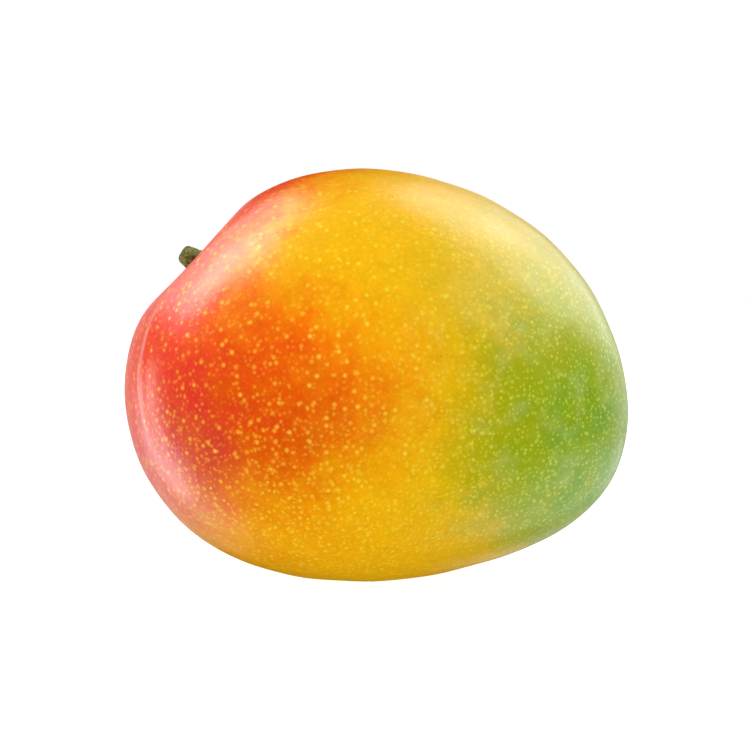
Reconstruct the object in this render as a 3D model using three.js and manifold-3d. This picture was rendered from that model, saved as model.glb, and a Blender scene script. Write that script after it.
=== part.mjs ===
// A ripe mango as picked, with the cut stub of its stem, standing on the narrow lower edge of its body.
// Millimetres. +Z is up, +X runs from the stem end to the beak at the tip, and +Y is away from the side
// that is looked at. The origin is the middle of the small flat spot that the fruit rests on.
import * as THREE from "three";
import { mergeVertices } from "three/addons/utils/BufferGeometryUtils.js";
import Module from "manifold-3d";

// The plain body: an ellipsoid round a centre, thicker at the stem end than at the tip
const CENTRE = new THREE.Vector3(1.5, 0, 49.4);
const HALF_LENGTH = 60.5;
const HALF_HEIGHT = 51.9;
const HALF_THICKNESS = 44;
const TAPER = 0.1; // share of the thickness that is lost at the tip and gained at the stem end
const CHEEK_FULLNESS = 1; // how far the broad cheeks stand out past the ellipsoid, halfway to their crown

// Swellings and hollows on the body. A direction is in degrees from +X towards +Z, in the plane of the
// stem and the beak, a rise is in millimetres along the radius, and a reach is an angle in degrees.
const FORMS = {
  dorsalShoulder: { direction: 105, rise: 1.85, reach: 21 },
  stemCavity: { direction: 145, rise: -7, reach: 8.8 },
  ventralShoulder: { direction: 217, rise: 3.9, reach: 43 },
  belly: { direction: 254, rise: -2.2, reach: 19.5 },
  sinus: { direction: 305, rise: -3.4, reach: 45 },
  beak: { direction: 336, rise: 7.5, reach: 20 },
};
const FACES_AROUND = 64; // round the line from the stem to the tip
const FACES_ALONG = 46; // from the stem to the tip

// The stem: a stub that widens towards the fruit, with its root in a plain socket
const STEM_AT = new THREE.Vector3(-43.75, 0, 80); // on its axis, level with the rim of the cavity
const STEM_DIRECTION = 148;
const STEM_END = { height: 4, radius: 2.15, edge: 0.6 }; // the cut end, above the rim
const STEM_RIM_RADIUS = 3.05;
const STEM_COLLAR = { height: -3.4, radius: 3.5 }; // at the floor of the cavity
const STEM_ROOT = { height: -8, radius: 3 };
const STEM_SIDES = 24;
const SOCKET_GAP = 0.3;

const wasm = await Module();
wasm.setup();

function inTheStemPlane(degrees) {
  const turn = THREE.MathUtils.degToRad(degrees);
  return new THREE.Vector3(Math.cos(turn), 0, Math.sin(turn));
}

// How much a form counts in a direction: 1 at its middle, falling off as a bell curve of its reach.
function nearness(toward, form) {
  const reach = THREE.MathUtils.degToRad(form.reach);
  return Math.exp((toward.dot(inTheStemPlane(form.direction)) - 1) / reach ** 2);
}

// The skin's distance from the centre in one direction.
function skinRadius(toward) {
  const thickness = HALF_THICKNESS * (1 - TAPER * toward.x);
  const body = 1 / Math.hypot(toward.x / HALF_LENGTH, toward.z / HALF_HEIGHT, toward.y / thickness);
  const sideways = toward.y ** 2;
  const cheek = CHEEK_FULLNESS * 4 * sideways * (1 - sideways);
  const rises = Object.values(FORMS).map((form) => form.rise * nearness(toward, form));
  return rises.reduce((sum, rise) => sum + rise, body + cheek);
}

// A sphere with its poles at the stem and opposite it, each point moved out to the skin.
function skin() {
  const geometry = new THREE.SphereGeometry(1, FACES_AROUND, FACES_ALONG);
  const pole = new THREE.Quaternion().setFromUnitVectors(
    new THREE.Vector3(0, 1, 0),
    inTheStemPlane(FORMS.stemCavity.direction),
  );
  const points = geometry.attributes.position;
  const point = new THREE.Vector3();
  for (let i = 0; i < points.count; i++) {
    point.fromBufferAttribute(points, i).applyQuaternion(pole).normalize();
    point.multiplyScalar(skinRadius(point)).add(CENTRE);
    points.setXYZ(i, point.x, point.y, point.z);
  }
  return geometry;
}

// The stem, or with a gap the space for its root, turned round its own axis with the rim at height 0.
function stemForm(gap = 0) {
  const end = STEM_END.height + gap;
  const outline = [
    [0, STEM_ROOT.height - gap],
    [STEM_ROOT.radius + gap, STEM_ROOT.height - gap],
    [STEM_COLLAR.radius + gap, STEM_COLLAR.height],
    [STEM_RIM_RADIUS + gap, 0],
    [STEM_END.radius + gap, end - STEM_END.edge],
    [STEM_END.radius + gap - STEM_END.edge / 3, end - STEM_END.edge / 3],
    [STEM_END.radius + gap - STEM_END.edge, end],
    [0, end],
  ].map(([radius, height]) => new THREE.Vector2(radius, height));
  return new THREE.LatheGeometry(outline, STEM_SIDES);
}

function toSolid(geometry) {
  const bare = geometry.clone();
  bare.deleteAttribute("normal");
  bare.deleteAttribute("uv");
  const merged = mergeVertices(bare, 1e-4);
  return new wasm.Manifold(
    new wasm.Mesh({
      numProp: 3,
      vertProperties: merged.attributes.position.array,
      triVerts: new Uint32Array(merged.index.array),
    }),
  );
}

function toGeometry(solid) {
  const mesh = solid.getMesh();
  const geometry = new THREE.BufferGeometry();
  geometry.setAttribute("position", new THREE.BufferAttribute(mesh.vertProperties, 3));
  geometry.setIndex(new THREE.BufferAttribute(mesh.triVerts, 1));
  geometry.computeVertexNormals();
  return geometry;
}

// What the fruit would press into the ground, which is cut off level to make the flat spot.
function underTheSurface() {
  const side = 4 * HALF_LENGTH;
  return new THREE.BoxGeometry(side, side, side).translate(0, 0, -side / 2);
}

const mango = new THREE.Group();

const stem = new THREE.Mesh(
  stemForm(),
  new THREE.MeshStandardMaterial({ color: 0x6f7a3a, roughness: 0.8, metalness: 0 }),
);
stem.name = "stem";
stem.position.copy(STEM_AT);
stem.quaternion.setFromUnitVectors(new THREE.Vector3(0, 1, 0), inTheStemPlane(STEM_DIRECTION));
stem.updateMatrix();

const socket = stemForm(SOCKET_GAP).applyMatrix4(stem.matrix);
const fruit = new THREE.Mesh(
  toGeometry(toSolid(skin()).subtract(toSolid(underTheSurface())).subtract(toSolid(socket))),
  new THREE.MeshStandardMaterial({ color: 0xef9a12, roughness: 0.4, metalness: 0 }),
);
fruit.name = "fruit";

mango.add(fruit, stem);

export default mango;
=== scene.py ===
"""A ripe mango with its cut stem, standing on its narrow lower edge in plain studio light.

The file is laid out as a Blender add-on and is run as a script. Lengths are in metres, unless a name or a
comment says millimetres.
"""

import math

import bpy
import numpy as np
from bpy.props import FloatProperty, FloatVectorProperty, IntProperty, PointerProperty
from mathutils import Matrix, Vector


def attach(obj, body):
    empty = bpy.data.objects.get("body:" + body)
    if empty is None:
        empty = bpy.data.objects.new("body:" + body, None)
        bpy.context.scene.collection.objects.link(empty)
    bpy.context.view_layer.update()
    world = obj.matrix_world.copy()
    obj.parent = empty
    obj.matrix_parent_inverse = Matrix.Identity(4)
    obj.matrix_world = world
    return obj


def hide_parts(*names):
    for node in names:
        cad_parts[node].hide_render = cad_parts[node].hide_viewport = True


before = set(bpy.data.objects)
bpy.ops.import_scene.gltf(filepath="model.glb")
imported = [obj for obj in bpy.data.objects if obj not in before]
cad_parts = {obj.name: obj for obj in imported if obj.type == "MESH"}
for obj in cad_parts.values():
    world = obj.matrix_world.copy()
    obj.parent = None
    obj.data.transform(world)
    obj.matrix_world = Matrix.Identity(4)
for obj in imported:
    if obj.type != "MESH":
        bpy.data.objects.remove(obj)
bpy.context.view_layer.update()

bl_info = {
    "name": "Mango",
    "version": (1, 0, 0),
    "blender": (4, 5, 0),
    "location": "3D View > Sidebar > Mango",
    "description": "Builds a ripe mango with a waxy, dotted skin, its cut stem and a plain stage",
    "category": "Add Mesh",
}

BODY = "root"
MM = 0.001

# Swellings and hollows of the fruit, each a bell curve over directions from its centre. The direction is in
# degrees from +X towards +Z, in the plane of the stem and the tip, the rise in millimetres along the radius,
# and the reach in degrees.
FORMS = {
    "dorsal shoulder": (105, 1.85, 21),
    "stem cavity": (145, -7, 8.8),
    "ventral shoulder": (217, 3.9, 43),
    "belly": (254, -2.2, 19.5),
    "sinus": (305, -3.4, 45),
    "beak": (336, 7.5, 20),
}
# Where the crest is highest, in the same degrees, and how far it reaches
CREST_MIDDLE = 172
CREST_REACH = 18

# How long the slow waves of the skin are, and the height and length of the ribs and knobs of the bark. A seed
# says where the random draw starts.
SKIN_WAVELENGTH = 0.016
SKIN_SEED = 3
BARK_WAVES = (0.00012, 0.0022), (0.00006, 0.001)
BARK_SEEDS = 11, 12


def linear(colour_hex):
    """Turns an sRGB hex colour such as "#f0b004" into the linear values that Blender works in."""
    parts = [int(colour_hex[i : i + 2], 16) / 255 for i in (1, 3, 5)]
    return [p / 12.92 if p <= 0.04045 else ((p + 0.055) / 1.055) ** 2.4 for p in parts]


def colour(title, text, colour_hex):
    """A colour that the user can change."""
    return FloatVectorProperty(
        name=title, description=text, subtype="COLOR", size=3, min=0, max=1, default=linear(colour_hex)
    )


def length(title, text, value):
    """A length in metres that the user can change."""
    return FloatProperty(name=title, description=text, default=value, unit="LENGTH", precision=5)


def share(title, text, value):
    """A number from 0 to 1 that the user can change."""
    return FloatProperty(name=title, description=text, default=value, min=0, max=1, subtype="FACTOR")


class FruitForm(bpy.types.PropertyGroup):
    """Sizes of the fruit"""

    centre: FloatVectorProperty(
        name="Centre",
        description="Where the radii of the skin are measured from",
        default=(0.0015, 0, 0.0494),
        subtype="TRANSLATION",
        unit="LENGTH",
    )
    half_length: length("Half length", "From the centre to the tip, without the beak", 0.0605)
    half_height: length("Half height", "From the centre to the top", 0.0519)
    half_thickness: length("Half thickness", "From the middle plane to the crown of a cheek", 0.044)
    taper: share("Taper", "Part of the thickness that is lost at the tip and gained at the stem end", 0.1)
    cheek_fullness: length("Cheek fullness", "How far the cheeks stand out past an ellipsoid", 0.001)
    crest_height: length("Crest height", "Rise of the soft crest on the near side of the stem end", 0.0006)
    crest_width: length("Crest width", "Reach of the crest to each side of its line", 0.0011)
    crest_offset: length("Crest offset", "From the middle plane to the crest, level with the centre", 0.0217)
    crest_spread: share("Crest spread", "How much further out the crest runs for each metre down", 0.14)
    unevenness: length("Unevenness", "Height of the slow waves of the skin", 0.00007)
    rings: IntProperty(name="Rings", description="Rings of points from the stem to the tip", default=210)
    points_around: IntProperty(name="Points around", description="Points in each ring", default=380)


class SkinFinish(bpy.types.PropertyGroup):
    """Colours and gloss of the skin"""

    golden: colour("Golden yellow", "Ripe ground colour of the middle of the fruit", "#f1b402")
    lemon: colour("Lemon", "Where the golden skin begins to turn green", "#dcb206")
    amber: colour("Amber", "Where the blush begins", "#f09d02")
    orange: colour("Orange", "Half blush", "#f07a02")
    scarlet: colour("Scarlet", "Full blush", "#ea5404")
    carmine: colour("Carmine", "Deepest blush, beside the stem", "#ea3824")
    olive: colour("Olive", "Where the yellow turns green", "#a6a606")
    leaf: colour("Leaf green", "The unripe end", "#8ca40c")
    tip: colour("Tip green", "The least ripe skin, at the tip", "#749e1e")
    bloom: colour("Bloom", "Waxy bloom that lies in thin clouds on the green skin", "#bcc48c")
    dusk: colour("Dusk", "Mauve shade of the blush low on the stem side", "#a84664")
    # Colour of the pale line painted along the crest: a painted highlight, the glint of light on the ridge
    crest_highlight_colour: colour("Rubbed", "Skin of the crest, where the wax is rubbed off", "#ffc4b8")
    speck: colour("Speck", "Small healed marks", "#8a5a1e")
    dot: colour("Dot", "Pale corky dots on golden skin", "#f2e036")
    dot_red: colour("Dot on red", "Pale corky dots on blushed skin", "#ffca3c")
    dot_green: colour("Dot on green", "Pale corky dots on green skin", "#cddc5c")
    depth: share("Depth", "How much darker the deepest blush is", 0.13)
    mottle: share("Mottle", "Depth of the fine light and dark patches", 0.2)
    veil: share("Veil", "How much the bloom hides the green", 0.24)
    shade: share("Shade", "How much the mauve shade hides the blush", 0.3)
    # How strongly the painted highlight along the crest shows
    crest_highlight_share: share("Rub", "How pale the rubbed line on the crest is", 0.34)
    roughness: share("Roughness", "Blur of the reflections", 0.3)
    wax: share("Wax", "Strength of the wax coat", 0.15)


class StemForm(bpy.types.PropertyGroup):
    """Sizes of the stem and colours of its bark"""

    at: FloatVectorProperty(
        name="Place",
        description="On the stem's axis, level with the rim of the cavity",
        default=(-0.04375, 0, 0.08),
        subtype="TRANSLATION",
        unit="LENGTH",
    )
    direction: FloatProperty(
        name="Direction",
        description="From +X towards +Z",
        default=math.radians(148),
        subtype="ANGLE",
    )
    end_height: length("End height", "Height of the cut end above the rim", 0.004)
    end_radius: length("End radius", "Radius at the cut end", 0.00215)
    rim_radius: length("Rim radius", "Radius level with the rim of the cavity", 0.00305)
    collar_height: length("Collar height", "Height of the widest place, at the cavity's floor", -0.0034)
    collar_radius: length("Collar radius", "Radius at the cavity's floor", 0.0035)
    root_height: length("Root height", "Height of the root's end", -0.008)
    root_radius: length("Root radius", "Radius at the root's end", 0.003)
    edge: length("Edge", "Rounding of the rim of the cut end", 0.001)
    rings: IntProperty(name="Rings", description="Rings of points along the stem", default=90)
    cut_rings: IntProperty(name="Cut rings", description="Rings of points across the cut end", default=12)
    points_around: IntProperty(name="Points around", description="Points in each ring", default=72)
    bark: colour("Bark", "Fresh green bark", "#6a752e")
    bark_pale: colour("Pale bark", "Dry flecks on the bark", "#9c9c6c")
    bark_brown: colour("Brown bark", "Withered patches of the bark", "#40381a")


class StageSetup(bpy.types.PropertyGroup):
    """Camera, floor and light"""

    lens: FloatProperty(name="Lens", description="Focal length in millimetres", default=100)
    distance: length("Camera distance", "From the camera to the point that it looks at", 0.52375)
    elevation: FloatProperty(
        name="Camera elevation",
        description="How far the camera looks down",
        default=math.radians(5),
        subtype="ANGLE",
    )
    look_at: FloatVectorProperty(
        name="Look at",
        description="The middle of the picture",
        default=(0.00125, 0, 0.05125),
        subtype="TRANSLATION",
        unit="LENGTH",
    )
    floor_radius: length("Floor radius", "Radius of the level floor, before it curves up", 1.5)
    floor_bend: length("Floor bend", "Radius of the curve from the floor to the wall", 0.5)
    wall_height: length("Wall height", "Height of the wall round the floor", 2.0)
    floor_glow: FloatProperty(name="Floor glow", description="Brightness of the lit floor", default=0.95)
    sky: FloatProperty(name="Sky", description="Brightness of the even light from all sides", default=0.08)
    lamps: IntProperty(name="Lamps", description="Number of lamps all round", default=24)
    lamp_brightness: FloatProperty(name="Lamp brightness", description="Of each lamp", default=116.0)


def toward(direction_degrees):
    """The unit vector at an angle from +X towards +Z."""
    turn = math.radians(direction_degrees)
    return np.array([math.cos(turn), 0, math.sin(turn)])


def nearness(directions, direction_degrees, reach_degrees):
    """exp((cos(angle) - 1) / reach^2): 1 in the given direction, falling off as a bell curve of the reach."""
    reach = math.radians(reach_degrees)
    return np.exp((directions @ toward(direction_degrees) - 1) / reach**2)


def skin_radius(directions, form):
    """The skin's distance from the centre: an ellipsoid whose thickness tapers towards the tip, with fuller
    cheeks, plus the rise of each form times its nearness, plus a crest beside the stem end."""
    x, y, z = np.moveaxis(directions, -1, 0)
    thickness = form.half_thickness * (1 - form.taper * x)
    body = 1 / np.sqrt((x / form.half_length) ** 2 + (z / form.half_height) ** 2 + (y / thickness) ** 2)
    radius = body + form.cheek_fullness * 4 * y**2 * (1 - y**2)
    for direction, rise, reach in FORMS.values():
        radius = radius + rise * MM * nearness(directions, direction, reach)
    line = form.crest_offset - form.crest_spread * z * body
    beside = (-y * body - line) / form.crest_width
    crest = np.exp(-(beside**2) / 2) * nearness(directions, CREST_MIDDLE, CREST_REACH)
    return radius + form.crest_height * crest


def slow_waves(points, height, wavelength, seed):
    """A sum of sine waves in random directions, which makes smooth hollows and swellings about as wide as the
    wavelength."""
    rng = np.random.default_rng(seed)
    waves = rng.normal(size=(14, 3))
    waves *= 2 * math.pi / wavelength / np.linalg.norm(waves, axis=1, keepdims=True)
    phases = rng.uniform(0, 2 * math.pi, len(waves))
    return height * np.sin(points @ waves.T + phases).sum(axis=-1) / math.sqrt(len(waves))


def ring_grid(rings, around):
    """Angles from the first pole and turns about the axis, for rings that leave both poles out."""
    fall = np.linspace(0, math.pi, rings + 2)[1:-1, None]
    turn = np.linspace(0, 2 * math.pi, around, endpoint=False)[None, :]
    return fall, turn


def axes_along(direction_degrees):
    """Three unit vectors at right angles: the axis, and two across it."""
    axis = toward(direction_degrees)
    across = np.array([0.0, 1.0, 0.0])
    return axis, across, np.cross(axis, across)


def closed_piece(name, rings, first_pole, last_pole, material):
    """Joins rings of points into one closed skin, with a fan of triangles at each pole. The rings run from
    the first pole to the last and all turn the same way, so that the faces point outwards."""
    count, around = rings.shape[:2]
    points = np.vstack([rings.reshape(-1, 3), first_pole, last_pole])
    near = np.arange(count * around).reshape(count, around)
    beside = np.roll(near, -1, axis=1)
    quads = np.stack([near[:-1], beside[:-1], beside[1:], near[1:]], axis=-1).reshape(-1, 4)
    start = np.stack([np.full(around, count * around), beside[0], near[0]], axis=-1)
    end = np.stack([np.full(around, count * around + 1), near[-1], beside[-1]], axis=-1)
    mesh = bpy.data.meshes.new(name)
    mesh.from_pydata(points.tolist(), [], quads.tolist() + start.tolist() + end.tolist())
    mesh.shade_smooth()
    mesh.materials.append(material)
    piece = bpy.data.objects.new(name, mesh)
    bpy.context.scene.collection.objects.link(piece)
    return piece


def node(tree, kind, inputs=None, stops=(), **settings):
    """Adds a node, with its settings, and its inputs by name or number: a socket is linked, a value is set.
    The stops are the (position, colour, alpha) of a colour ramp."""
    made = tree.nodes.new(kind)
    for name, value in settings.items():
        setattr(made, name, value)
    for name, value in (inputs or {}).items():
        if isinstance(value, bpy.types.NodeSocket):
            tree.links.new(value, made.inputs[name])
        else:
            made.inputs[name].default_value = value
    while stops and len(made.color_ramp.elements) < len(stops):
        made.color_ramp.elements.new(0.5)
    for k, (position, rgb, alpha) in enumerate(stops):
        made.color_ramp.elements[k].position = position
        made.color_ramp.elements[k].color = (*rgb, alpha)
    return made


def new_material(name):
    """An empty material with its output, and a Principled surface linked to it."""
    material = bpy.data.materials.new(name)
    material.use_nodes = True
    material.node_tree.nodes.clear()
    surface = node(material.node_tree, "ShaderNodeBsdfPrincipled")
    node(material.node_tree, "ShaderNodeOutputMaterial", {"Surface": surface.outputs[0]})
    return material, surface


def opaque(rgb):
    """A colour as a socket takes it, with an alpha of 1."""
    return (*rgb, 1)


def place_in_mm(tree):
    """The point on the piece, in millimetres."""
    point = node(tree, "ShaderNodeTexCoord").outputs["Object"]
    return node(tree, "ShaderNodeVectorMath", {0: point, "Scale": 1 / MM}, operation="SCALE").outputs[0]


def uneven(tree, place, grain_mm, detail=3.0):
    """Noise about 0, from -0.5 to 0.5, in patches of about the grain."""
    noise = node(tree, "ShaderNodeTexNoise", {"Vector": place, "Scale": 1 / grain_mm, "Detail": detail})
    return node(tree, "ShaderNodeMath", {0: noise.outputs[0], 1: 0.5}, operation="SUBTRACT").outputs[0]


def total(tree, *terms):
    """The sum of several sockets or numbers, each times its factor."""
    added = 0.0
    for term, factor in terms:
        inputs = {0: term, 1: factor, 2: added}
        added = node(tree, "ShaderNodeMath", inputs, operation="MULTIPLY_ADD").outputs[0]
    return added


def clouded(tree, mask, cloudy, strength):
    """The mask times one plus the cloudy noise at its strength."""
    cloud = node(tree, "ShaderNodeMath", {0: mask, 1: cloudy}, operation="MULTIPLY").outputs[0]
    return total(tree, (mask, 1.0), (cloud, strength))


def zone(tree, place, ragged, centre_mm, reach_mm, soft):
    """1 inside an ellipsoid, 0 outside, with a soft border about its surface, which ragged noise moves."""
    moved = node(tree, "ShaderNodeVectorMath", {0: place, 1: centre_mm}, operation="SUBTRACT")
    scaled = node(tree, "ShaderNodeVectorMath", {0: moved.outputs[0], 1: reach_mm}, operation="DIVIDE")
    away = node(tree, "ShaderNodeVectorMath", {0: scaled.outputs[0]}, operation="LENGTH")
    frayed = total(tree, (away.outputs["Value"], 1.0), (ragged, 1.0))
    inputs = {"Value": frayed, "From Min": 1 + soft, "From Max": 1 - soft}
    return node(tree, "ShaderNodeMapRange", inputs, interpolation_type="SMOOTHSTEP").outputs[0]


def either(tree, masks):
    """The soft union of several masks, each with its strength: one minus the product of what each leaves."""
    left = 1.0
    for mask, strength in masks:
        inputs = {0: mask, 1: -strength, 2: 1.0}
        rest = node(tree, "ShaderNodeMath", inputs, operation="MULTIPLY_ADD").outputs[0]
        left = node(tree, "ShaderNodeMath", {0: rest, 1: left}, operation="MULTIPLY").outputs[0]
    return node(tree, "ShaderNodeMath", {0: 1.0, 1: left}, operation="SUBTRACT").outputs[0]


def coated(tree, under, *coats):
    """The colour under several coats, laid one over the other, each a mask and the colour that it brings."""
    for mask, over in coats:
        inputs = {"Factor": mask, 6: under, 7: over}
        under = node(tree, "ShaderNodeMix", inputs, data_type="RGBA").outputs[2]
    return under


def dots(tree, place, size_mm, presence, core=0.0):
    """Round dots of one size, (spacing, radius), one in each cell of a loose grid that the skin happens to
    cut, each with its own strength. The core is the part of the radius that is fully covered."""
    spacing, radius = size_mm
    cells = node(tree, "ShaderNodeTexVoronoi", {"Vector": place, "Scale": 1 / spacing, "Randomness": 0.9})
    widest = radius / spacing
    near = {"Value": cells.outputs["Distance"], "From Min": widest, "From Max": widest * core}
    mask = node(tree, "ShaderNodeMapRange", near, interpolation_type="SMOOTHSTEP").outputs[0]
    own = node(tree, "ShaderNodeSeparateColor", {0: cells.outputs["Color"]}).outputs[0]
    strength = node(tree, "ShaderNodeMapRange", {"Value": own, "To Min": 0.5, "To Max": 1.0}).outputs[0]
    shown = node(tree, "ShaderNodeMath", {0: mask, 1: strength}, operation="MULTIPLY").outputs[0]
    return node(tree, "ShaderNodeMath", {0: shown, 1: presence}, operation="MULTIPLY").outputs[0]


# Where the skin has each colour: the middle and the reach of each ellipsoid in millimetres, its softness and
# its strength
BLUSH_ZONES = (
    ((-60, -15, 50), (40, 60, 29), 0.7, 0.8),
    ((-64, -5, 57), (19, 60, 42), 0.7, 1.0),
    ((-26, -30, 51), (36, 40, 22), 0.7, 0.5),
    ((-45, -20, 35), (55, 60, 60), 0.5, 0.18),
    ((-50, -6, 85), (22, 40, 20), 0.6, 0.82),
    ((-40, 12, 94), (46, 32, 17), 0.5, 0.95),
    ((12, 43, 74), (58, 43, 46), 0.35, 0.9),
    ((-33, -25, 16), (24, 40, 15), 0.8, 0.12),
)
GREEN_ZONES = (
    ((60, -10, 37), (41, 60, 28), 0.7, 0.82),
    ((68, -5, 21), (28, 60, 19), 0.8, 0.85),
    ((60, -8, 70), (46, 56, 38), 0.6, 0.4),
)
# The noise that frays the borders: the grain of each layer in millimetres, and its strength
FRAY = (20, 0.35), (6, 0.4), (1.5, 0.12)

# Where the blush is deeper, where it turns mauve, and where the pale line of painted highlight lies along the
# crest, in the same way but without a strength
DEEP_ZONE = (-28, -35, 41), (34, 30, 14), 0.7
DUSK_ZONE = (-49, -20, 28), (16, 60, 14), 0.7
CREST_ZONE = (-60, -20, 59), (20, 60, 18), 0.55

# The painted highlight line along the crest in millimetres: how wide it is to each side, the grain of its
# wavering, and the grain of the noise that breaks it up, with the strength of that noise
CREST_LINE_MM = 1.5
CREST_WAVER_MM = 6
CREST_BREAKUP = 4, 1.6

# The spacing and radius of each size of dot in millimetres, and where the sizes belong
LARGE_DOTS = 2.25, 0.86
MEDIUM_DOTS = 1.55, 0.66
FINE_DOTS = 1.15, 0.46
SPECKS = 6.5, 0.4
COARSE_ZONE = (-22, 0, 56), (62, 80, 56), 0.4
FINE_ZONE = (50, 0, 26), (46, 80, 50), 0.5
LOW_ZONE = (-36, -25, 13), (46, 60, 26), 0.6

# The clouds in the pigment and in the bloom: their grain in millimetres, and how much the first change it
CLOUD_MM = 8
CLOUD_STRENGTH = 0.6
BLOOM_MM = 7
# The mottling under the dots: the grain of each layer in millimetres, and its part of the whole depth
MOTTLES = (3.5, 1.0), (1.1, 1.0), (0.5, 0.6)

# The skin's relief: the grain of each noise and its height in millimetres, and the height of the dots
RELIEF = (0.7, 0.04), (3.5, 0.12)
DOT_RELIEF_MM = 0.03
# How strongly the cuticle and its wax bend light
WAX_IOR = 1.45

# The grain of the bark's withered patches, its pale flecks and its fibres, and the depth of the fibres
BARK_PATCH_MM = 2.2
BARK_FLECK_MM = 0.8
BARK_FIBRE_MM = 0.5
BARK_FIBRE_DEPTH_MM = 0.15


def painted_crest_highlight(tree, place, form):
    """A painted highlight: 1 on the crest of the skin and 0 one line's width beside it, near the middle of
    the crest only. The line wavers a little and is broken up in places."""
    axes = node(tree, "ShaderNodeSeparateXYZ", {0: place})
    level = (form.crest_offset + form.crest_spread * form.centre[2]) / MM
    beside = total(
        tree,
        (axes.outputs["Y"], -1.0),
        (axes.outputs["Z"], form.crest_spread),
        (level, -1.0),
        (uneven(tree, place, CREST_WAVER_MM), 1.0),
    )
    away = node(tree, "ShaderNodeMath", {0: beside}, operation="ABSOLUTE").outputs[0]
    inputs = {"Value": away, "From Min": CREST_LINE_MM, "From Max": 0.0}
    line = node(tree, "ShaderNodeMapRange", inputs, interpolation_type="SMOOTHSTEP").outputs[0]
    grain, strength = CREST_BREAKUP
    broken_up = total(tree, (uneven(tree, place, grain), strength))
    near = zone(tree, place, broken_up, *CREST_ZONE)
    return node(tree, "ShaderNodeMath", {0: line, 1: near}, operation="MULTIPLY").outputs[0]


def bloom_clouds(tree, place, finish, green):
    """Thin clouds of bloom, which show on the green skin only."""
    cloudy = uneven(tree, place, BLOOM_MM, detail=5.0)
    inputs = {"Value": cloudy, "From Min": -0.04, "From Max": 0.2, "To Max": finish.veil}
    veil = node(tree, "ShaderNodeMapRange", inputs, interpolation_type="SMOOTHSTEP").outputs[0]
    return node(tree, "ShaderNodeMath", {0: veil, 1: green}, operation="MULTIPLY").outputs[0]


def skin_dots(tree, place, ragged):
    """All pale dots: large and sparse on the blush, small and dense on the green end and low down. The medium
    dots thin out among the large ones."""
    coarse_there = zone(tree, place, ragged, *COARSE_ZONE)
    fine_there = zone(tree, place, ragged, *FINE_ZONE)
    low_there = zone(tree, place, ragged, *LOW_ZONE)
    medium_shown = total(tree, (coarse_there, -0.45), (low_there, 0.45), (0.95, 1.0))
    fine_shown = total(tree, (fine_there, 0.8), (low_there, 0.55), (0.15, 1.0))
    large = dots(tree, place, LARGE_DOTS, coarse_there)
    medium = dots(tree, place, MEDIUM_DOTS, medium_shown)
    fine = dots(tree, place, FINE_DOTS, fine_shown)
    return either(tree, [(large, 0.9), (medium, 0.85), (fine, 0.9)])


def mango_skin(finish, form):
    """Waxy fruit skin, grown and not made: pigment blushes from the stem end over a golden ground, the tip
    stays green under thin clouds of bloom, and pale corky dots break through a smooth cuticle, which gives
    the eye broad veiled highlights instead of sharp ones."""
    material, surface = new_material("mango_skin_waxy_cuticle")
    tree = material.node_tree
    place = place_in_mm(tree)
    ragged = total(tree, *[(uneven(tree, place, grain), strength) for grain, strength in FRAY])
    cloudy = uneven(tree, place, CLOUD_MM)
    blush = either(tree, [(zone(tree, place, ragged, *where), strength) for *where, strength in BLUSH_ZONES])
    blush = clouded(tree, blush, cloudy, CLOUD_STRENGTH)
    green = either(tree, [(zone(tree, place, ragged, *where), strength) for *where, strength in GREEN_ZONES])
    green = clouded(tree, green, cloudy, -CLOUD_STRENGTH)

    ripening = (
        (0.0, finish.golden, 1),
        (0.2, finish.lemon, 1),
        (0.5, finish.olive, 1),
        (0.82, finish.leaf, 1),
        (0.97, finish.tip, 1),
    )
    blushing = (
        (0.0, finish.golden, 0),
        (0.25, finish.amber, 0.75),
        (0.5, finish.orange, 1),
        (0.75, finish.scarlet, 1),
        (1.0, finish.carmine, 1),
    )
    dots_blushing = ((0.0, finish.dot, 1), (0.7, finish.dot_red, 1))
    ground = node(tree, "ShaderNodeValToRGB", {"Fac": green}, ripening).outputs["Color"]
    flush = node(tree, "ShaderNodeValToRGB", {"Fac": blush}, blushing)
    pale = node(tree, "ShaderNodeValToRGB", {"Fac": blush}, dots_blushing).outputs["Color"]
    pale = coated(tree, pale, (green, opaque(finish.dot_green)))
    pigment = coated(tree, ground, (flush.outputs["Alpha"], flush.outputs["Color"]))

    deeper = zone(tree, place, ragged, *DEEP_ZONE)
    mottling = [(uneven(tree, place, grain), finish.mottle * part) for grain, part in MOTTLES]
    lightness = total(tree, *mottling, (deeper, -finish.depth), (1.0, 1.0))
    mottled = node(tree, "ShaderNodeHueSaturation", {"Color": pigment, "Value": lightness}).outputs[0]
    dotted = skin_dots(tree, place, ragged)
    skin = coated(
        tree,
        mottled,
        (bloom_clouds(tree, place, finish, green), opaque(finish.bloom)),
        (total(tree, (zone(tree, place, ragged, *DUSK_ZONE), finish.shade)), opaque(finish.dusk)),
        # A pale line painted along the crest: a painted highlight, the glint of light on the ridge, laid into
        # the colour
        (total(tree, (painted_crest_highlight(tree, place, form), finish.crest_highlight_share)), opaque(finish.crest_highlight_colour)),
        (dots(tree, place, SPECKS, 0.7, core=0.2), opaque(finish.speck)),
        (dotted, pale),
    )
    tree.links.new(skin, surface.inputs["Base Color"])

    relief = [(uneven(tree, place, grain, detail=2.0), rise) for grain, rise in RELIEF]
    height = total(tree, *relief, (dotted, DOT_RELIEF_MM))
    bump = node(tree, "ShaderNodeBump", {"Height": height, "Distance": MM, "Strength": 1.0})
    tree.links.new(bump.outputs[0], surface.inputs["Normal"])
    surface.inputs["Roughness"].default_value = finish.roughness
    surface.inputs["IOR"].default_value = WAX_IOR
    surface.inputs["Coat Weight"].default_value = finish.wax
    surface.inputs["Coat Roughness"].default_value = finish.roughness
    surface.inputs["Coat IOR"].default_value = WAX_IOR
    return material


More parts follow.
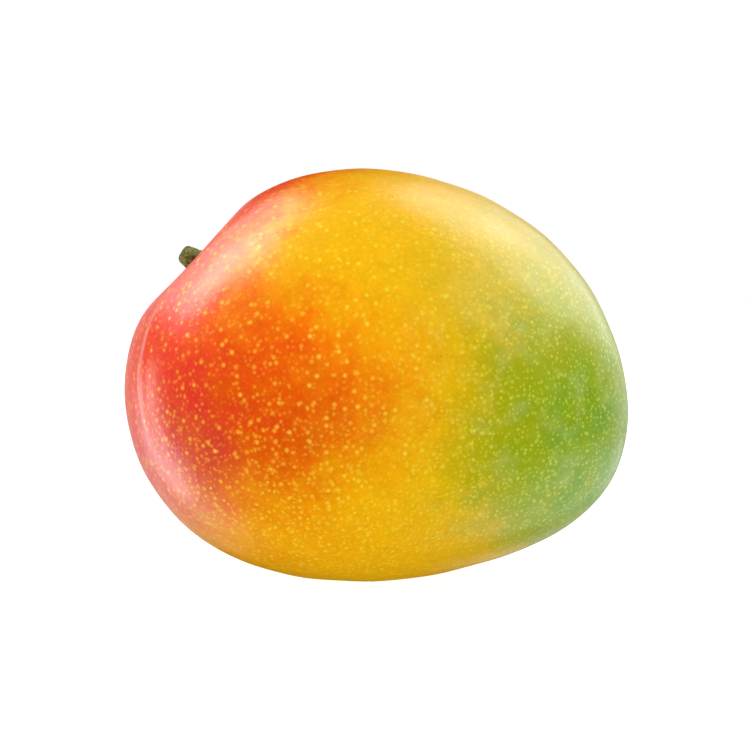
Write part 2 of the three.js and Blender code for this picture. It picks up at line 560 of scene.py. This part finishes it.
def stem_bark(form):
    """Dry green stalk, cut with a blade: fibrous bark with withered brown patches and pale flecks, which
    gives the eye a dull, broken surface beside the waxy fruit."""
    material, surface = new_material("mango_stem_dry_bark")
    tree = material.node_tree
    place = place_in_mm(tree)
    withered = {"Value": uneven(tree, place, BARK_PATCH_MM), "From Min": -0.02, "From Max": 0.14}
    flecked = {"Value": uneven(tree, place, BARK_FLECK_MM), "From Min": 0.03, "From Max": 0.2}
    patches = node(tree, "ShaderNodeMapRange", withered).outputs[0]
    flecks = node(tree, "ShaderNodeMapRange", flecked).outputs[0]
    bark = coated(
        tree,
        opaque(form.bark),
        (patches, opaque(form.bark_brown)),
        (flecks, opaque(form.bark_pale)),
    )
    tree.links.new(bark, surface.inputs["Base Color"])
    fibres = {"Height": uneven(tree, place, BARK_FIBRE_MM), "Distance": BARK_FIBRE_DEPTH_MM * MM}
    tree.links.new(node(tree, "ShaderNodeBump", fibres).outputs[0], surface.inputs["Normal"])
    surface.inputs["Roughness"].default_value = 0.75
    return material


# The skin's own map, for baking: how many charts lie beside and over each other, and the margin of each
CHARTS = 3, 2
CHART_MARGIN = 0.02


def bake_map(piece, centre):
    """Lays the skin out on six square charts, one for each side of a cube round the centre. On a chart the
    place is the arc tangent of the direction's slope, which keeps the scale nearly even."""
    mesh = piece.data
    points = np.empty(len(mesh.vertices) * 3)
    mesh.vertices.foreach_get("co", points)
    points = points.reshape(-1, 3) - centre
    corner_points = np.empty(len(mesh.loops), dtype=np.int64)
    mesh.loops.foreach_get("vertex_index", corner_points)
    middles = np.empty(len(mesh.polygons) * 3)
    mesh.polygons.foreach_get("center", middles)
    middles = middles.reshape(-1, 3) - centre
    sizes = np.empty(len(mesh.polygons), dtype=np.int64)
    mesh.polygons.foreach_get("loop_total", sizes)
    main_axis = np.abs(middles).argmax(axis=1)
    along_it = np.take_along_axis(middles, main_axis[:, None], 1)[:, 0]
    axis = np.repeat(main_axis, sizes)
    positive = np.repeat(along_it > 0, sizes)
    corners = points[corner_points]
    rows = np.arange(len(corners))
    main = np.abs(corners[rows, axis])
    across = np.arctan(corners[rows, (axis + 1) % 3] / main) / (math.pi / 2) + 0.5
    up = np.arctan(corners[rows, (axis + 2) % 3] / main) / (math.pi / 2) + 0.5
    inner = 1 - 2 * CHART_MARGIN
    u = (axis + CHART_MARGIN + inner * across) / CHARTS[0]
    v = (positive + CHART_MARGIN + inner * up) / CHARTS[1]
    layer = mesh.uv_layers.new(name="OFBake")
    layer.data.foreach_set("uv", np.stack([u, v], axis=-1).ravel())


class MANGO_OT_skin(bpy.types.Operator):
    """Builds the skin of the fruit: rings of points about the line from the stem, each at its radius"""

    bl_idname = "mango.skin"
    bl_label = "Fruit"

    def execute(self, context):
        form = context.scene.mango_fruit
        centre = np.array(form.centre)
        fall, turn = ring_grid(form.rings, form.points_around)
        axis, across, over = axes_along(FORMS["stem cavity"][0])
        flat = np.sin(fall)[..., None] * (np.cos(turn)[..., None] * across + np.sin(turn)[..., None] * over)
        directions = np.cos(fall)[..., None] * axis + flat
        rings = centre + self.distance(directions, form)[..., None] * directions
        # The flat spot that the fruit rests on
        rings[..., 2] = np.maximum(rings[..., 2], 0)
        poles = [centre + self.distance(pole[None], form)[0] * pole for pole in (axis, -axis)]
        piece = closed_piece("mango_skin", rings, *poles, mango_skin(context.scene.mango_finish, form))
        bake_map(piece, centre)
        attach(piece, BODY)
        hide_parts("fruit")
        return {"FINISHED"}

    @staticmethod
    def distance(directions, form):
        """The skin's distance from the centre, with its slow waves."""
        radius = skin_radius(directions, form)
        points = radius[..., None] * directions
        return radius + slow_waves(points, form.unevenness, SKIN_WAVELENGTH, SKIN_SEED)


class MANGO_OT_stem(bpy.types.Operator):
    """Builds the cut stub of the stem: a profile turned round the stem's axis, with ribs and knobs of bark"""

    bl_idname = "mango.stem"
    bl_label = "Stem"

    def execute(self, context):
        form = context.scene.mango_stem
        axis, across, over = axes_along(math.degrees(form.direction))
        at = np.array(form.at)
        height = np.linspace(form.root_height, form.end_height, form.rings)
        radius = self.radius(height, form)
        turn = np.linspace(0, 2 * math.pi, form.points_around, endpoint=False)
        out = np.cos(turn)[:, None] * across + np.sin(turn)[:, None] * over
        points = at + height[:, None, None] * axis + radius[:, None, None] * out
        # Only the hollows between the knobs are cut, so the bark stays inside the stem's own radius
        bumps = sum(slow_waves(points, *wave, seed) for wave, seed in zip(BARK_WAVES, BARK_SEEDS))
        points = points + np.minimum(bumps, 0)[..., None] * out
        middle = at + form.end_height * axis
        inwards = np.linspace(1, 0, form.cut_rings + 2)[1:-1, None, None]
        cut_end = middle + inwards * (points[-1] - middle)
        points = np.concatenate([points, cut_end])
        bottom = at + form.root_height * axis
        piece = closed_piece("cut_stem", points[::-1], middle, bottom, stem_bark(form))
        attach(piece, BODY)
        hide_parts("stem")
        return {"FINISHED"}

    @staticmethod
    def radius(height, form):
        """Straight lines from the root over the collar and the rim to the cut end, whose edge is rounded off
        by a quarter circle that stops just short of level."""
        heights = [form.root_height, form.collar_height, 0, form.end_height]
        radii = [form.root_radius, form.collar_radius, form.rim_radius, form.end_radius]
        past_edge = np.clip((height - (form.end_height - form.edge)) / form.edge, 0, 1)
        just_short = 0.98
        lost = form.edge * (1 - np.sqrt(1 - past_edge**2 * just_short))
        return np.interp(height, heights, radii) - lost


# Large soft panels that only the waxy skin mirrors: the direction of each from the fruit, its width and
# height in metres and its brightness. The floor is frosted glass, so those below it shine through.
PANELS = {
    "left_above": ((-0.72, 0.09, 0.69), 0.44, 0.62, 7.6),
    "left_wide": ((-0.62, 0.38, 0.68), 0.8, 0.8, 2.4),
    "left_top": ((-0.38, 0.24, 0.89), 0.4, 0.3, 1.6),
    "left_below": ((-0.88, 0.37, -0.29), 0.38, 0.72, 4.4),
    "left_under": ((-0.70, 0.20, -0.68), 0.55, 0.5, 1.3),
    "left_behind": ((-0.52, 0.85, -0.05), 0.8, 0.9, 0.5),
    "left_low_back": ((-0.56, 0.60, -0.57), 0.5, 0.5, 0.4),
    "behind": ((0.40, 0.90, 0.20), 0.7, 0.7, 0.35),
    "right_above": ((0.74, 0.22, 0.63), 0.7, 0.7, 2.9),
    "right_top": ((0.40, 0.36, 0.84), 0.5, 0.5, 2.2),
    "right_wide": ((0.62, 0.42, 0.66), 1.2, 1.2, 1.2),
    "right_back": ((0.60, 0.66, 0.42), 0.5, 0.6, 0.6),
    "right_before": ((0.80, -0.30, 0.52), 0.75, 0.6, 2.0),
    "right_below": ((0.74, 0.10, -0.66), 0.8, 0.8, 1.5),
    "right_behind": ((0.80, 0.60, -0.05), 0.8, 1.0, 0.9),
    "right_low_back": ((0.46, 0.74, -0.48), 0.6, 0.6, 0.6),
}
PANEL_DISTANCE = 0.9
LAMP_DISTANCE = 1.1
LAMP_SIZE = 0.08
# The lamps in this direction are brighter, and those opposite dimmer, by its length
KEY_BIAS = -0.12, -0.12, 0.22


class MANGO_OT_stage(bpy.types.Operator):
    """Builds the stage: a lit floor of frosted glass, lamps and soft panels all round, and the camera"""

    bl_idname = "mango.stage"
    bl_label = "Stage"

    def execute(self, context):
        setup = context.scene.mango_stage
        self.floor(context, setup)
        self.lights(context, setup)
        self.camera(context, setup)
        context.scene.view_settings.view_transform = "Standard"
        return {"FINISHED"}

    def floor(self, context, setup):
        """A level disc whose edge curves up into a wall: a profile of a line, an arc and a line, turned round
        the upright."""
        steps_out, steps_up, steps_around = 30, 24, 96
        out = np.linspace(0.05, setup.floor_radius, steps_out)
        flat = np.stack([out, np.zeros(steps_out)], axis=-1)
        arc = np.linspace(-math.pi / 2, 0, steps_up)
        curve = np.stack([np.cos(arc), 1 + np.sin(arc)], axis=-1) * setup.floor_bend
        curve[:, 0] += setup.floor_radius
        wall = np.array([[setup.floor_radius + setup.floor_bend, setup.wall_height]])
        profile = np.concatenate([flat, curve[1:], wall])
        turn = np.linspace(0, 2 * math.pi, steps_around, endpoint=False)
        points = np.empty((len(profile), len(turn), 3))
        points[..., :2] = profile[:, None, :1] * np.stack([np.cos(turn), np.sin(turn)], axis=-1)
        points[..., 2] = profile[:, None, 1]
        count, around = points.shape[:2]
        near = np.arange(count * around).reshape(count, around)
        beside = np.roll(near, -1, axis=1)
        quads = np.stack([near[:-1], near[1:], beside[1:], beside[:-1]], axis=-1).reshape(-1, 4)
        middle = np.stack([np.full(around, count * around), near[0], beside[0]], axis=-1)
        mesh = bpy.data.meshes.new("floor")
        mesh.from_pydata(points.reshape(-1, 3).tolist() + [[0, 0, 0]], [], quads.tolist() + middle.tolist())
        mesh.shade_smooth()
        mesh.materials.append(self.frosted_glass(setup))
        floor = bpy.data.objects.new("floor", mesh)
        floor.visible_glossy = False
        floor.visible_diffuse = False
        floor.visible_shadow = False
        context.scene.collection.objects.link(floor)

    @staticmethod
    def frosted_glass(setup):
        """Glass frosted by sand blasting and lit from below, which gives the eye an even white, with no
        shadow under the fruit."""
        material, surface = new_material("frosted_glass_sand_blasted")
        surface.inputs["Base Color"].default_value = (0.3, 0.3, 0.3, 1)
        surface.inputs["Roughness"].default_value = 1.0
        surface.inputs["Specular IOR Level"].default_value = 0.0
        surface.inputs["Emission Color"].default_value = (1, 1, 1, 1)
        surface.inputs["Emission Strength"].default_value = setup.floor_glow
        return material

    def lights(self, context, setup):
        """Panels that only the wax mirrors, and small round lamps that light all else, spread over a sphere
        by the golden angle."""
        for name, (direction, width, height, brightness) in PANELS.items():
            panel = self.lamp(context, name, Vector(direction), PANEL_DISTANCE, (width, height), brightness)
            panel.visible_diffuse = False
        for k in range(setup.lamps):
            rise = 1 - (2 * k + 1) / setup.lamps
            turn = k * math.pi * (3 - math.sqrt(5))
            around = math.sqrt(1 - rise**2)
            direction = Vector((around * math.cos(turn), around * math.sin(turn), rise))
            size = LAMP_SIZE, LAMP_SIZE
            brightness = setup.lamp_brightness * (1 + direction.dot(Vector(KEY_BIAS)))
            lamp = self.lamp(context, f"lamp_{k}", direction, LAMP_DISTANCE, size, brightness)
            lamp.visible_glossy = False
        world = bpy.data.worlds.new("studio")
        context.scene.world = world
        world.use_nodes = True
        world.node_tree.nodes["Background"].inputs["Strength"].default_value = setup.sky
        world.node_tree.nodes["Background"].inputs["Color"].default_value = (1, 1, 1, 1)
        world.cycles_visibility.glossy = False

    def lamp(self, context, name, direction, away, size, brightness):
        """An oval area light that faces the middle of the fruit. Its power is its brightness times pi and
        times its area."""
        middle = Vector(context.scene.mango_fruit.centre)
        data = bpy.data.lights.new(name, "AREA")
        data.shape = "ELLIPSE"
        data.size, data.size_y = size
        area = math.pi / 4 * size[0] * size[1]
        data.energy = brightness * math.pi * area
        made = bpy.data.objects.new(name, data)
        made.location = middle + direction.normalized() * away
        made.rotation_euler = (middle - made.location).to_track_quat("-Z", "Y").to_euler()
        made.visible_camera = False
        context.scene.collection.objects.link(made)
        return made

    def camera(self, context, setup):
        """A long lens in front of the fruit, a little above it and looking down at its middle."""
        data = bpy.data.cameras.new("camera")
        data.lens = setup.lens
        camera = bpy.data.objects.new("camera", data)
        back = Vector((0, -math.cos(setup.elevation), math.sin(setup.elevation)))
        camera.location = Vector(setup.look_at) + setup.distance * back
        camera.rotation_euler = (-back).to_track_quat("-Z", "Y").to_euler()
        context.scene.collection.objects.link(camera)
        context.scene.camera = camera


class MANGO_PT_panel(bpy.types.Panel):
    """Lists the pieces of the mango and its stage"""

    bl_label = "Mango"
    bl_idname = "MANGO_PT_panel"
    bl_space_type = "VIEW_3D"
    bl_region_type = "UI"
    bl_category = "Mango"

    def draw(self, context):
        for operator in OPERATORS:
            self.layout.operator(operator.bl_idname)


GROUPS = {
    "mango_fruit": FruitForm,
    "mango_finish": SkinFinish,
    "mango_stem": StemForm,
    "mango_stage": StageSetup,
}
OPERATORS = (MANGO_OT_stage, MANGO_OT_skin, MANGO_OT_stem)


def register():
    """Makes the classes and their values known to Blender."""
    for name, group in GROUPS.items():
        bpy.utils.register_class(group)
        setattr(bpy.types.Scene, name, PointerProperty(type=group))
    for kind in (*OPERATORS, MANGO_PT_panel):
        bpy.utils.register_class(kind)


def unregister():
    """Takes them out again, in the opposite order."""
    for kind in (MANGO_PT_panel, *OPERATORS):
        bpy.utils.unregister_class(kind)
    for name, group in GROUPS.items():
        delattr(bpy.types.Scene, name)
        bpy.utils.unregister_class(group)


def main():
    """Makes the stage and the pieces."""
    register()
    bpy.ops.mango.stage()
    bpy.ops.mango.skin()
    bpy.ops.mango.stem()
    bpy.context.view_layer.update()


if __name__ == "__main__":
    main()
